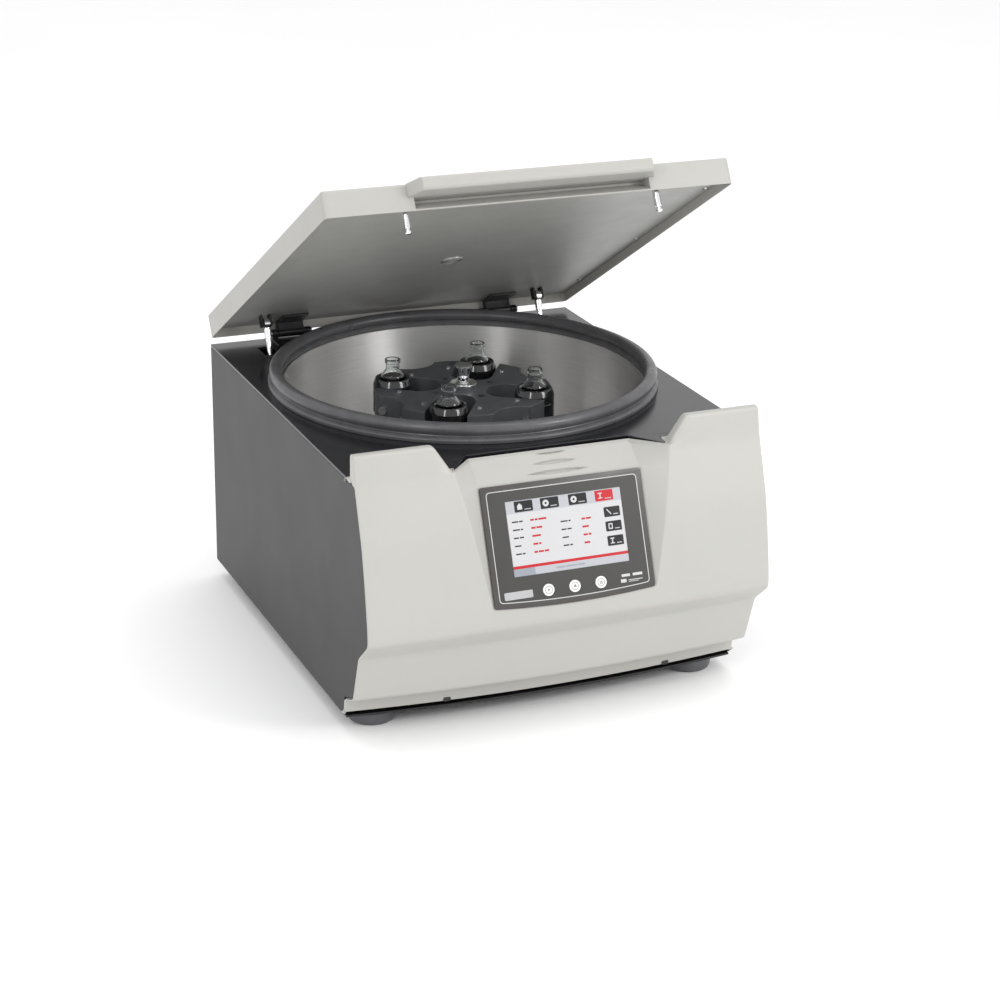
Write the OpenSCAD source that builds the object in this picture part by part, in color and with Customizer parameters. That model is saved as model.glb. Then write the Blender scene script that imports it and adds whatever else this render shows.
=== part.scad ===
// Bench-top laboratory centrifuge with a swing-out rotor and a front-opening lid.
// Millimetres, +Z up, feet on Z = 0. X is left to right, the control panel faces -Y,
// and the origin is the middle of the footprint. The lid is modelled open.

/* [Cabinet] */
// Width of the cabinet
body_w = 575; // [540:1:620]
// Height of the deck above the table
deck_z = 368; // [360:1:380]
// Height of the feet
foot_h = 22; // [15:1:30]
// Outer diameter of a foot
foot_d = 66; // [50:1:80]
// Thickness of the sheet metal panels
sheet = 3; // [2:0.5:4]
// Thickness of the moulded front bezel
bezel_t = 4; // [3:0.5:5]

/* [Chamber] */
// Inner diameter of the chamber bowl
bowl_d = 510; // [500:1:512]
// Depth of the chamber below the deck
bowl_depth = 195; // [190:1:200]
// Diameter of the round bead on the lid gasket
bead_d = 18; // [12:1:18]

/* [Lid] */
// How far the lid stands open, in degrees
lid_open = 30.13; // [0:0.01:60]
// Height of the lid skirt
lid_h = 36; // [34:1:45]
// Thickness of the lid shell
lid_t = 2; // [2:0.5:4]
// How far the lid handle stands out
handle_out = 30; // [20:1:32]

/* [Rotor] */
// Distance from the spindle to each bucket's swing pin
swing_r = 103; // [102:1:106]
// Turn of the rotor at rest, in degrees
rotor_turn = -33; // [-90:1:90]
// Height of the rotor arms
arm_h = 38; // [34:1:40]
// Outer diameter of a sample tube
tube_d = 34; // [30:1:36]
// Length of a sample tube
tube_l = 181; // [170:1:181]

/* [Display] */
// Width of the control panel
panel_w = 230; // [200:1:240]
// Width of the screen
screen_w = 165; // [140:1:170]
// Height of the screen
screen_h = 99; // [90:1:105]
// Diameter of a push button
button_d = 16; // [10:1:18]

/* [Hidden] */

$fn = 64;
eps = 0.01;              // overlap that keeps a cut open
shut = 0.3;              // assembly gap between neighbouring panels
run_fit = 0.05;          // radial clearance of a running fit

// cabinet
hw = body_w / 2;         // half width of the cabinet
rear_y = 339;            // back face of the cabinet
deck_y = -247;           // front edge of the deck
deck_t = 4;              // thickness of the deck
base_top = foot_h + sheet;
shoulder_z = deck_z + 36; // top of the two front shoulders
shoulder_back = -283;    // back face of the shoulders
shoulder_front = -295;   // front face of the shoulders
shoulder_in = 179;       // inner end of a shoulder at its top
shoulder_slope = 24;     // how far that end runs in towards the middle lower down
shoulder_foot = 14;      // how far the back of a shoulder spreads at the deck
feet_x = 237;
feet_y = [-217, 277];

// outline of the bezel's front at its two ends, [y, z] from the top down
front_profile = [
    [-303, 368], [-307, 366], [-317, 326], [-330, 288], [-341, 234], [-348, 190], [-350, 167],
    [-347, 160], [-314, 132], [-290, 62], [-257, 50], [-254, 31]];
// how far the middle of the front bows out beyond its ends, [bow, z]
front_bow = [[0, 368], [2, 326], [4, 234], [5, 160], [12, 120], [18, 62], [20, 31]];

// control panel: its face leans back, from the bottom edge to the top edge
panel_low = [-353, 191];
panel_top = [-293, 338.5];
panel_t = 3;
panel_h = norm(panel_top - panel_low);
panel_lean = atan2(panel_top[0] - panel_low[0], panel_top[1] - panel_low[1]);
hollow_top = 365.5;      // where the hollow above the panel meets the deck edge
flare_top = 38;          // width of the hollow's side walls at the deck
flare_low = 3;           // and at the foot of the panel
rim_x = panel_w / 2 + flare_top; // outer corner of the hollow's edge at the deck
rim_y = -297;            // where the bezel's lip meets the deck there
lip = 5;                 // width of the lip between the hollow and the deck
buttons_u = [-37.5, 0, 37.5];
button_v = 16;           // height of the buttons up the panel
button_gap = 0.4;
screen_v = 38;           // height of the screen's bottom edge up the panel

// chamber and gasket
axis_y = 50;             // the spindle's position
bowl_r = bowl_d / 2;
bowl_t = 2;
floor_z = deck_z - bowl_depth;
bowl_fillet = 30;
boot_r = 45;             // hole in the bowl's floor, filled by the rubber boot
bead_r = bead_d / 2;
bead_z = deck_z + 18;    // height of the bead's centre
bead_c = 266;            // radius of the bead's centre line
gasket_r = 277;

// motor
motor_r = 75;
motor_low = 58;
motor_top = 160;
spindle_r = 10;

// rotor
arm_top = deck_z - 11;
arm_low = arm_top - arm_h;
swing_z = deck_z - 32;   // height of the swing pins
pin_r = 4;
slot_w = 60;             // width of a bucket's slot between two prongs
rotor_r = 126;
slot_in = 62;            // centre of the slot's round inner end
hub_r = 16;
scoop_r = 40;            // hollow between the two prongs of an arm
scoop_c = 148;

// buckets, measured from the swing pin
bucket_rim = 29;
bucket_low = 129;
bucket_r = 28;
bucket_bore = 19;
tube_top = 56.5;
tube_r = tube_d / 2;
glass = 1.4;
neck_r = 9.8;
lip_r = 11.3;

// lid, in its closed position
hinge_y = 326;
hinge_z = deck_z + 10;
rim_z = deck_z + 15;
lid_top = rim_z + lid_h;
lid_front = -280;
lid_back = 336;
plate_z = deck_z + 28;   // underside of the lid's inner plate
lid_bevel = 3;
grip_low = lid_top - 18; // underside of the handle
grip_half = 174;         // half width of the handle at its root
grip_tip = 161;
scoop_half = 165;        // finger recess under the handle
scoop_deep = 22;
scoop_foot = 386;
latch_x = 177;
latch_y = -269;
latch_r = 4.5;
latch_hole = 8;          // radius of the hole that the latch pin drops through
latch_tip = plate_z - 40;

// locks under the deck
hook_z = latch_tip + 4;
hook_t = 3;
hook_w = 14;

// hinges and gas struts
leaf_x = 167;            // middle of each hinge
hinge_w = 60;
knuckle_r = 6;
hinge_pin_r = 3;
strut_x = 217;
strut_low = [207, 211];  // lower pivot, [y, z]
strut_top = [278.6, 384]; // upper pivot with the lid closed, [y, z]
strut_pin_r = 3.2;
strut_eye_r = 4.7;       // the open pivot's hole, with clearance
rod_r = 4;
cylinder_r = 9;
cylinder_l = 120;

// back of the cabinet
inlet_x = -195;
switch_x = -145;
service_z = 75;          // height of the inlet and the switch
fan_x = 130;
fan_z = 120;
fan_d = 80;
rocker_tilt = 8;

dark = [0.37, 0.37, 0.38];
cream = [0.84, 0.83, 0.80];
black = [0.10, 0.10, 0.11];
steel = [0.72, 0.73, 0.74];
rotor_grey = [0.27, 0.29, 0.31];

// Straight-line reading of a list of [value, z] points that runs from the top down
function read(list, z, i = 0) =
    z >= list[i + 1][1] || i + 2 >= len(list)
    ? list[i][0] + (list[i + 1][0] - list[i][0]) * (list[i][1] - z) / (list[i][1] - list[i + 1][1])
    : read(list, z, i + 1);

function mix(a, b, t) = a + (b - a) * t;

// Points of an arc in the plane
function arc(c, r, from, to, n = 8) =
    [for (i = [0 : n]) c + r * [cos(mix(from, to, i / n)), sin(mix(from, to, i / n))]];

// Where a point of the closed lid is with the lid open, [y, z]
function opened(p) =
    [hinge_y + (p[0] - hinge_y) * cos(lid_open) + (p[1] - hinge_z) * sin(lid_open),
     hinge_z - (p[0] - hinge_y) * sin(lid_open) + (p[1] - hinge_z) * cos(lid_open)];

module at_lid() {
    translate([0, hinge_y, hinge_z]) rotate([-lid_open, 0, 0]) translate([0, -hinge_y, -hinge_z])
        children();
}

module at_rotor() {
    translate([0, axis_y, 0]) rotate([0, 0, rotor_turn]) children();
}

// Place children on the control panel: X across, Y up the panel, Z out of its face
module on_panel() {
    translate([0, panel_low[0], panel_low[1]]) rotate([90 - panel_lean, 0, 0]) children();
}

// Extrude a [y, z] outline along X, from x0 to x1
module along_x(x0, x1) {
    translate([x0, 0, 0]) rotate([90, 0, 90]) linear_extrude(x1 - x0) children();
}

// Extrude an [x, z] outline along +Y, from y0 to y1
module along_y(y0, y1) {
    translate([0, y1, 0]) rotate([90, 0, 0]) linear_extrude(y1 - y0) children();
}

module rounded(w, d, r) {
    translate([-w / 2, -d / 2]) {
        translate([r, 0]) square([w - 2 * r, d]);
        translate([0, r]) square([w, d - 2 * r]);
        for (x = [r, w - r], y = [r, d - r]) translate([x, y]) circle(r);
    }
}

// ---- cabinet ----

module base_plate() {
    bow_r = 2075;        // radius of the bowed front edge
    color(black) difference() {
        translate([0, 0, foot_h]) linear_extrude(sheet) intersection() {
            translate([-hw + sheet, -275]) square([body_w - 2 * sheet, rear_y + 272]);
            translate([0, bow_r - 272]) circle(bow_r, $fn = 360);
        }
        for (x = [-feet_x, feet_x], y = feet_y) translate([x, y, 0]) cylinder(h = 60, r = 4);
        for (i = [-4 : 4]) translate([i * 22 - 5, 170, foot_h - 1]) cube([10, 90, sheet + 2]);
    }
}

module side_outline() {
    edge = bezel_t + shut;
    polygon(concat(
        [[rear_y, base_top], [rear_y, deck_z - deck_t], [shut - 299, deck_z - deck_t],
         [shut - 307, 350]],
        [for (p = front_profile) if (p[1] < 364 && p[1] > 55)
            [p[0] + edge, p[1] + (p[1] < 70 ? 3 + shut : 0)]],
        [[-257 + edge, 53 + shut], [-254 + edge, 31], [-254 + edge, base_top]]));
}

module side_panel(x0) {
    color(dark) along_x(x0, x0 + bezel_t) side_outline();
}
module side_panel_left() { side_panel(-hw); }
module side_panel_right() { side_panel(hw - bezel_t); }

module rear_panel() {
    color(dark) difference() {
        translate([-hw + bezel_t, rear_y - sheet, base_top])
            cube([body_w - 2 * bezel_t, sheet, deck_z - deck_t - base_top]);
        translate([fan_x, rear_y + 1, fan_z]) rotate([90, 0, 0]) cylinder(h = sheet + 2, r = fan_d / 2);
        translate([inlet_x - 14, rear_y - sheet - 1, service_z - 10]) cube([28, sheet + 2, 20]);
        translate([switch_x - 7, rear_y - sheet - 1, service_z - 11]) cube([14, sheet + 2, 22]);
        for (i = [0 : 6])
            translate([-80, rear_y - sheet - 1, 250 + i * 12]) cube([160, sheet + 2, 5]);
    }
}

// The deck's front edge follows the hollow, then the back of the shoulders
module deck_outline() {
    foot_x = shoulder_in - shoulder_slope - shut;
    foot_y = shoulder_back + shoulder_foot + shut;
    half = [
        [panel_w / 2 + shut, deck_y + shut], [rim_x + shut, rim_y + 2 * shut],
        [foot_x, rim_y + 1], [foot_x, foot_y], [hw, foot_y], [hw, rear_y]];
    polygon(concat(half, [for (i = [len(half) - 1 : -1 : 0]) [-half[i][0], half[i][1]]]));
}

module top_deck() {
    color(dark) difference() {
        translate([0, 0, deck_z - deck_t]) linear_extrude(deck_t) deck_outline();
        for (s = [-1, 1]) translate([s * latch_x, latch_y, deck_z - 20])
            cylinder(h = 30, r = latch_hole);
        translate([0, axis_y, 0]) cylinder(h = 500, r = bowl_r + bowl_t + 1, $fn = 180);
        for (s = [-1, 1]) translate([s * strut_x - 11, 258, deck_z - 20]) cube([22, 40, 40]);
    }
}

// Front face of the bezel at a place across the cabinet
function face_y(x, z) = read(front_profile, z) - read(front_bow, z) * (1 - pow(x / hw, 2));

// Floor of the hollow that holds the control panel
function hollow_y(z) = z > panel_top[1]
    ? mix(panel_top[0] + panel_t, deck_y - lip, (z - panel_top[1]) / (deck_z - panel_top[1]))
    : mix(panel_low[0], panel_top[0], (z - panel_low[1]) / (panel_top[1] - panel_low[1]))
        + panel_t / cos(panel_lean) + shut;

function flare(z) = z < panel_low[1] ? flare_low
    : mix(flare_low, flare_top, (z - panel_low[1]) / (deck_z - panel_low[1]));

bezel_rows = [deck_z, deck_z, 353, panel_top[1], 326, 307, 288, 261, 234, 212, panel_low[1] - 0.9,
              panel_low[1] - 2, 178, 167, 160, 146, 132, 109, 86, 62, 50, 40, 31];
wing_columns = 5;
middle_columns = 7;
bezel_columns = 2 * wing_columns + middle_columns;

function column_x(c, z) =
    c < wing_columns ? mix(-hw, -panel_w / 2 - flare(z), c / (wing_columns - 1))
    : c < wing_columns + middle_columns
        ? mix(-panel_w / 2, panel_w / 2, (c - wing_columns) / (middle_columns - 1))
    : mix(panel_w / 2 + flare(z), hw, (c - wing_columns - middle_columns) / (wing_columns - 1));

function in_middle(c) = c >= wing_columns && c < wing_columns + middle_columns;

function beside_middle(c) = c == wing_columns - 1 || c == wing_columns + middle_columns;

function outer_point(r, c) =
    let (z = bezel_rows[r], x = column_x(c, z))
    r == 0 ? [x, in_middle(c) ? deck_y : beside_middle(c) ? rim_y : shoulder_back - 2, z]
    : in_middle(c) && z > panel_low[1] - 1 ? [x, hollow_y(z), z]
    : [x, face_y(x, z), z];

function inner_point(r, c) =
    let (p = outer_point(r, c), z = p[2])
    r == 0 ? p - [0, 0, bezel_t]
    : r == 1 ? p + [0, bezel_t, -bezel_t]
    : z > 350 ? p + [0, 3, -3]
    : z < 55 && z > 35 ? p + [0, bezel_t, 3]
    : z < 70 && z > 55 ? p + [0, bezel_t, 3]
    : p + [0, bezel_t, 0];

module bezel_skin() {
    rows = len(bezel_rows);
    n = rows * bezel_columns;
    function o(r, c) = r * bezel_columns + c;
    function i(r, c) = n + r * bezel_columns + c;
    function two(a, b, c, d) = [[a, b, c], [a, c, d]];
    sheets = [for (r = [0 : rows - 2], c = [0 : bezel_columns - 2]) each concat(
        two(o(r, c), o(r, c + 1), o(r + 1, c + 1), o(r + 1, c)),
        two(i(r, c), i(r + 1, c), i(r + 1, c + 1), i(r, c + 1)))];
    top_low = [for (c = [0 : bezel_columns - 2]) each concat(
        two(o(0, c + 1), o(0, c), i(0, c), i(0, c + 1)),
        two(o(rows - 1, c), o(rows - 1, c + 1), i(rows - 1, c + 1), i(rows - 1, c)))];
    last = bezel_columns - 1;
    sides = [for (r = [0 : rows - 2]) each concat(
        two(o(r, 0), o(r + 1, 0), i(r + 1, 0), i(r, 0)),
        two(o(r + 1, last), o(r, last), i(r, last), i(r + 1, last)))];
    polyhedron(
        [for (r = [0 : rows - 1], c = [0 : last]) outer_point(r, c),
         for (r = [0 : rows - 1], c = [0 : last]) inner_point(r, c)],
        concat(sheets, top_low, sides));
}

module shoulder() {
    bevel = atan2(shoulder_slope, shoulder_z - deck_z);
    difference() {
        along_x(shoulder_in - shoulder_slope, hw) polygon([
            [shoulder_front, deck_z - 3], [front_profile[0][0], deck_z - 1],
            [shoulder_front, shoulder_z - 3], [shoulder_front + 3, shoulder_z],
            [shoulder_back - 2, shoulder_z], [shoulder_back, shoulder_z - 2],
            [shoulder_back, deck_z + 12], [shoulder_back + 6, deck_z + 4],
            [shoulder_back + shoulder_foot, deck_z - 3]]);
        translate([shoulder_in, 0, shoulder_z]) rotate([0, bevel, 0])
            translate([-100, -350, -100]) cube([100, 200, 200]);
    }
}

module front_bezel() {
    window = 12;         // width of the ledge that the control panel rests on
    color(cream) difference() {
        union() {
            bezel_skin();
            shoulder();
            mirror([1, 0, 0]) shoulder();
        }
        on_panel() translate([-panel_w / 2 + window, 6, -30])
            cube([panel_w - 2 * window, panel_h - 6 - window, 40]);
        for (s = [-1, 1]) translate([s * latch_x, latch_y, deck_z - 20])
            cylinder(h = 30, r = latch_hole);
    }
}

module feet() {
    for (x = [-feet_x, feet_x], y = feet_y) color(black) translate([x, y, 0]) difference() {
        rotate_extrude() polygon([
            [0, 0], [foot_d / 2 - 5, 0], [foot_d / 2 - 2, 1.5], [foot_d / 2, 6],
            [foot_d / 2, foot_h - 5], [foot_d / 2 - 4, foot_h], [0, foot_h]]);
        translate([0, 0, -1]) cylinder(h = 9, r = 9);
        cylinder(h = foot_h + 1, r = 4.2);
    }
}

module foot_screws() {
    for (x = [-feet_x, feet_x], y = feet_y) color(steel) translate([x, y, 2]) {
        cylinder(h = 6, r = 7);
        cylinder(h = base_top + 3, r = 3.8);
        translate([0, 0, base_top - 2]) cylinder(h = 5, r = 7, $fn = 6);
    }
}

// ---- chamber ----

module bowl() {
    o_r = bowl_r + bowl_t;
    color(steel) translate([0, axis_y, 0]) rotate_extrude($fn = 180) polygon(concat(
        [[boot_r, floor_z], [boot_r, floor_z - bowl_t]],
        arc([bowl_r - bowl_fillet, floor_z + bowl_fillet], bowl_fillet + bowl_t, -90, 0),
        [[o_r, deck_z + 4], [bowl_r, deck_z + 4]],
        arc([bowl_r - bowl_fillet, floor_z + bowl_fillet], bowl_fillet, 0, -90)));
}

module bowl_gasket() {
    foot_in = bowl_r + bowl_t + shut;
    color(black) translate([0, axis_y, 0]) rotate_extrude($fn = 180) {
        polygon([
            [foot_in, deck_z], [gasket_r, deck_z], [gasket_r, deck_z + 8],
            [gasket_r - 2, deck_z + 10], [bead_c + 3, deck_z + 10.5], [bead_c + 3, bead_z],
            [bead_c - 6, bead_z], [foot_in, deck_z + 12]]);
        translate([bead_c, bead_z]) circle(bead_r, $fn = 32);
    }
}

module spindle_boot() {
    color(black) translate([0, axis_y, 0]) rotate_extrude() polygon([
        [boot_r - shut, floor_z - 2], [boot_r - shut, floor_z + 1], [30, floor_z + 5],
        [spindle_r + 3, floor_z + 14], [spindle_r + 1, floor_z + 14], [spindle_r + 1, floor_z + 9],
        [26, floor_z + 2], [30, floor_z - 2]]);
}

module motor_mounts() {
    for (a = [30, 150, 270]) color(black) translate([0, axis_y, base_top])
        rotate([0, 0, a]) translate([92, 0, 0]) {
            cylinder(h = motor_low - 6 - base_top, r = 15);
        }
}

module motor_plate() {
    color(steel) translate([0, axis_y, motor_low - 6]) cylinder(h = 6, r = 112);
}

module motor_housing() {
    color([0.30, 0.31, 0.33]) translate([0, axis_y, 0]) difference() {
        union() {
            translate([0, 0, motor_low]) cylinder(h = motor_top - motor_low - 12, r = motor_r);
            translate([0, 0, motor_top - 12]) cylinder(h = 6, r = motor_r - 6);
            translate([0, 0, motor_top - 6]) cylinder(h = 6, r = 28);
            for (a = [0 : 30 : 330]) rotate([0, 0, a])
                translate([motor_r - 2, -2, motor_low + 10]) cube([8, 4, 70]);
        }
        translate([0, 0, motor_low + 20]) cylinder(h = 200, r = spindle_r + run_fit);
    }
}

// ---- rotor ----

module spindle() {
    color(steel) translate([0, axis_y, motor_low + 20.5])
        cylinder(h = arm_top + 8 - motor_low - 20.5, r = spindle_r);
}

module cross_outline() {
    half = slot_w / 2;
    difference() {
        circle(rotor_r, $fn = 180);
        for (a = [0 : 90 : 270]) rotate([0, 0, a]) {
            translate([slot_in, -half]) square([rotor_r, slot_w]);
            translate([slot_in, 0]) circle(half);
        }
        for (a = [45 : 90 : 315]) rotate([0, 0, a]) translate([scoop_c, 0]) circle(scoop_r);
    }
}

module rotor_cross() {
    color(rotor_grey) at_rotor() difference() {
        union() {
            translate([0, 0, arm_low]) linear_extrude(arm_h) cross_outline();
            translate([0, 0, arm_low - 20]) cylinder(h = 21, r = 24);
        }
        translate([0, 0, arm_low - 30]) cylinder(h = 100, r = spindle_r);
        for (a = [0 : 90 : 270]) rotate([0, 0, a]) translate([swing_r, 0, swing_z])
            rotate([90, 0, 0]) cylinder(h = 140, r = pin_r + run_fit, center = true);
    }
}

module rotor_screws() {
    color(steel) at_rotor() for (a = [45 : 90 : 315]) rotate([0, 0, a]) {
        for (p = [[46, 0], [88, 32], [88, -32]])
            translate([p[0], p[1], arm_top]) cylinder(h = 1.6, r1 = 3.4, r2 = 2.6);
    }
}

module trunnion_pins() {
    pin_in = 24;         // where the pin ends inside the bucket's wall
    pin_out = scoop_c * sin(45) - scoop_r + 1; // just outside the prong
    color([0.85, 0.86, 0.87]) at_rotor() for (a = [0 : 90 : 270]) rotate([0, 0, a])
        translate([swing_r, 0, swing_z]) for (s = [-90, 90]) rotate([s, 0, 0]) {
            translate([0, 0, pin_in]) cylinder(h = pin_out - pin_in, r = pin_r);
            translate([0, 0, pin_out]) cylinder(h = 2, r = 6);
        }
}

module rotor_hub() {
    color(steel) translate([0, axis_y, 0]) rotate_extrude() polygon([
        [spindle_r, arm_top], [hub_r, arm_top], [hub_r, arm_top + 7], [hub_r - 1, arm_top + 8],
        [hub_r - 2.5, arm_top + 8], [hub_r - 4, arm_top + 5], [spindle_r, arm_top + 5]]);
}

module rotor_knob() {
    low = arm_top + 8 + shut;
    color([0.85, 0.86, 0.87]) translate([0, axis_y, 0]) difference() {
        rotate_extrude() polygon([
            [0, low], [8, low], [8, low + 7], [12.5, low + 22], [13, low + 23], [13, low + 25],
            [12, low + 26], [0, low + 26]]);
        for (a = [0 : 30 : 330]) rotate([0, 0, a]) translate([14.2, 0, low + 10])
            cylinder(h = 30, r = 2, $fn = 16);
    }
}

module bucket(k) {
    color(black) at_rotor() rotate([0, 0, 90 * (k - 1)]) translate([swing_r, 0, swing_z])
        difference() {
            rotate_extrude() polygon([
                [24.5, bucket_rim], [25.5, bucket_rim - 1], [bucket_r, bucket_rim - 9],
                [bucket_r, -20], [26, -24], [24.5, -118], [22, 4 - bucket_low],
                [18, -bucket_low], [0, -bucket_low],
                [0, 4 - bucket_low], [6, 4.4 - bucket_low], [bucket_bore, -88],
                [bucket_bore, bucket_rim - 2], [bucket_bore + 1.5, bucket_rim]]);
            for (s = [-90, 90]) rotate([s, 0, 0]) translate([0, 0, 23.6])
                cylinder(h = 10, r = pin_r + run_fit);
        }
}
module bucket_1() { bucket(1); }
module bucket_2() { bucket(2); }
module bucket_3() { bucket(3); }
module bucket_4() { bucket(4); }

module tube(k) {
    foot = tube_top - tube_l;
    in_r = tube_r - glass;
    color([0.80, 0.88, 0.90, 0.5]) at_rotor() rotate([0, 0, 90 * (k - 1)])
        translate([swing_r, 0, swing_z]) rotate_extrude() polygon(concat(
            [[0, foot], [4, foot + 1], [tube_r, foot + 43]],
            arc([neck_r + 0.5, 32], tube_r - neck_r - 0.5, 0, 75, 6),
            [[neck_r, 42], [neck_r, 50], [lip_r, 52], [lip_r, tube_top - 1], [lip_r - 1, tube_top],
             [neck_r - glass, tube_top], [neck_r - glass, 40.5]],
            arc([neck_r + 0.5 - glass, 32], in_r - neck_r - 0.5 + glass, 75, 0, 6),
            [[in_r, foot + 43], [3, foot + 2.5], [0, foot + 2]]));
}
module tube_1() { tube(1); }
module tube_2() { tube(2); }
module tube_3() { tube(3); }
module tube_4() { tube(4); }

// ---- control panel ----

module display_panel() {
    color(dark) on_panel() difference() {
        translate([0, panel_h / 2, -panel_t]) linear_extrude(panel_t)
            rounded(panel_w - 2 * shut, panel_h - 2 * shut, 3);
        translate([-screen_w / 2, screen_v, -panel_t - 1]) cube([screen_w, screen_h, panel_t + 2]);
        for (u = buttons_u) translate([u, button_v, -panel_t - 1])
            cylinder(h = panel_t + 2, r = button_d / 2 + button_gap);
    }
}

module display_screen() {
    edge = 3;
    color([0.93, 0.94, 0.95]) on_panel() {
        translate([-screen_w / 2 + shut, screen_v + shut, -panel_t - 1])
            cube([screen_w - 2 * shut, screen_h - 2 * shut, panel_t + 0.6]);
        translate([-screen_w / 2 - edge, screen_v - edge, -panel_t - 6])
            cube([screen_w + 2 * edge, screen_h + 2 * edge, 6]);
    }
}

module display_board() {
    color([0.10, 0.35, 0.20]) on_panel() translate([-95, 7, -panel_t - 14])
        cube([190, panel_h - 24, 2]);
}

module button(u) {
    color([0.92, 0.92, 0.92]) on_panel() translate([u, button_v, -panel_t - 5]) {
        translate([0, 0, 5 - 1.6]) cylinder(h = panel_t + 2.8, r = button_d / 2);
        cylinder(h = 4, r = 6);
    }
}
module button_start() { button(buttons_u[0]); }
module button_stop() { button(buttons_u[1]); }
module button_open() { button(buttons_u[2]); }

// ---- lid ----

// Solid lid body, shrunk on every side but the bottom
module lid_solid(less) {
    x = hw - less;
    top = lid_top - less;
    b = lid_bevel;
    intersection() {
        translate([0, (lid_front + lid_back) / 2, rim_z - 1]) linear_extrude(lid_h + 2)
            rounded(2 * x, lid_back - lid_front - 2 * less, 8 - less);
        along_x(-x, x) polygon([
            [lid_front + less, rim_z - 1], [lid_back - less, rim_z - 1],
            [lid_back - less, top - b], [lid_back - less - b, top],
            [lid_front + less + b, top], [lid_front + less, top - b]]);
        along_y(lid_front, lid_back) polygon([
            [-x, rim_z - 1], [x, rim_z - 1], [x, top - b], [x - b, top],
            [b - x, top], [-x, top - b]]);
    }
}

// Wedge under the handle, [y, z] outline grown by g
module finger_wedge(g) {
    along_x(-scoop_half - g, scoop_half + g) polygon([
        [lid_front - 5 + g, grip_low + g], [lid_front + scoop_deep + g, grip_low + g],
        [lid_front + scoop_deep + g, grip_low - 3 - g], [lid_front - 5 + g, scoop_foot - 4 - g]]);
}

module lid_shell() {
    color(cream) at_lid() difference() {
        union() {
            difference() {
                lid_solid(0);
                lid_solid(lid_t);
            }
            intersection() {
                lid_solid(0.5);
                finger_wedge(2.5);
            }
        }
        finger_wedge(0);
        translate([-400, -400, rim_z - 5]) cube([800, 800, 5]);
    }
}

module lid_inner_plate() {
    color([0.55, 0.55, 0.56]) at_lid() difference() {
        translate([0, (lid_front + lid_back) / 2, plate_z]) linear_extrude(1.5)
            rounded(body_w - 2 * lid_t - 2 * shut, lid_back - lid_front - 2 * lid_t - 2 * shut, 5);
        translate([-scoop_half - 4, lid_front - 10, plate_z - 1])
            cube([2 * scoop_half + 8, scoop_deep + 14, 4]);
        translate([0, axis_y, plate_z - 1]) cylinder(h = 4, r = 13);
    }
}

module lid_handle() {
    y1 = lid_front;
    color(cream) at_lid() intersection() {
        translate([0, 0, grip_low]) linear_extrude(lid_top - grip_low) polygon([
            [-grip_half, y1], [-grip_tip, y1 - handle_out], [grip_tip, y1 - handle_out],
            [grip_half, y1]]);
        along_x(-grip_half, grip_half) polygon([
            [y1, grip_low], [y1 - handle_out + 3, grip_low], [y1 - handle_out, grip_low + 3],
            [y1 - handle_out, lid_top - 3], [y1 - handle_out + 3, lid_top], [y1, lid_top]]);
    }
}

module lid_port() {
    color([0.75, 0.76, 0.77]) at_lid() translate([0, axis_y, plate_z - 1.5]) {
        difference() {
            cylinder(h = 1.5, r = 15.5);
            translate([0, 0, -1]) cylinder(h = 3, r = 11);
        }
        cylinder(h = 5, r = 11);
    }
}

module lid_screws() {
    color(steel) at_lid() for (x = [-278, 278], y = [-215, 28, 250])
        translate([x, y, plate_z - 1.5]) cylinder(h = 1.5, r1 = 3, r2 = 4.5);
}

module latch_pins() {
    waist = 3;
    color([0.85, 0.86, 0.87]) at_lid() for (s = [-1, 1])
        translate([s * latch_x, latch_y, 0]) rotate_extrude() polygon([
            [0, latch_tip], [latch_r - 1.5, latch_tip], [latch_r, latch_tip + 1.5],
            [latch_r, hook_z - 0.5], [waist, hook_z - 0.5], [waist, hook_z + hook_t + 0.5],
            [latch_r, hook_z + hook_t + 0.5], [latch_r, plate_z - 3], [latch_r + 4, plate_z - 3],
            [latch_r + 4, plate_z], [0, plate_z]]);
}

// ---- lid locks ----

module lock_housings() {
    top = deck_z - bezel_t;
    color(black) for (s = [-1, 1]) translate([s * latch_x, latch_y, 0]) difference() {
        translate([-34, -12, hook_z - 22]) cube([54, 24, top - hook_z + 22]);
        translate([0, 0, hook_z - 12]) cylinder(h = 60, r = 6.5);
        translate([-29, -hook_w / 2 - 0.5, hook_z - 0.5])
            cube([43, hook_w + 1, hook_t + 1]);
    }
}

// The hook's fork closes on the pin's waist when it slides towards +X
module lock_hook(s) {
    fork = 6.8;
    color(steel) translate([s * latch_x, latch_y, hook_z]) difference() {
        translate([-28.5, -hook_w / 2, 0]) cube([28, hook_w, hook_t]);
        translate([-9, 0, -1]) cylinder(h = 5, r = fork / 2);
        translate([-9, -fork / 2, -1]) cube([10, fork, 5]);
        translate([-6, -hook_w / 2 - 1, -1]) cube([7, hook_w + 2, 5]);
    }
}
module lock_hook_left() { lock_hook(-1); }
module lock_hook_right() { lock_hook(1); }

// ---- hinges and struts ----

module hinge_bases() {
    ear = 9;
    color(black) for (s = [-1, 1]) translate([s * leaf_x, 0, 0]) difference() {
        union() {
            translate([-hinge_w / 2, 291, deck_z]) cube([hinge_w, 44, 3]);
            for (x = [-hinge_w / 2, hinge_w / 2 - ear]) {
                translate([x, hinge_y - knuckle_r, deck_z]) cube([ear, 2 * knuckle_r, 10]);
                translate([x, hinge_y, hinge_z]) rotate([0, 90, 0]) cylinder(h = ear, r = knuckle_r);
            }
        }
        translate([-50, hinge_y, hinge_z]) rotate([0, 90, 0])
            cylinder(h = 100, r = hinge_pin_r + run_fit);
        for (x = [-14, 14]) translate([x, 304, deck_z - 1]) cylinder(h = 5, r = 3);
    }
}

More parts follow.
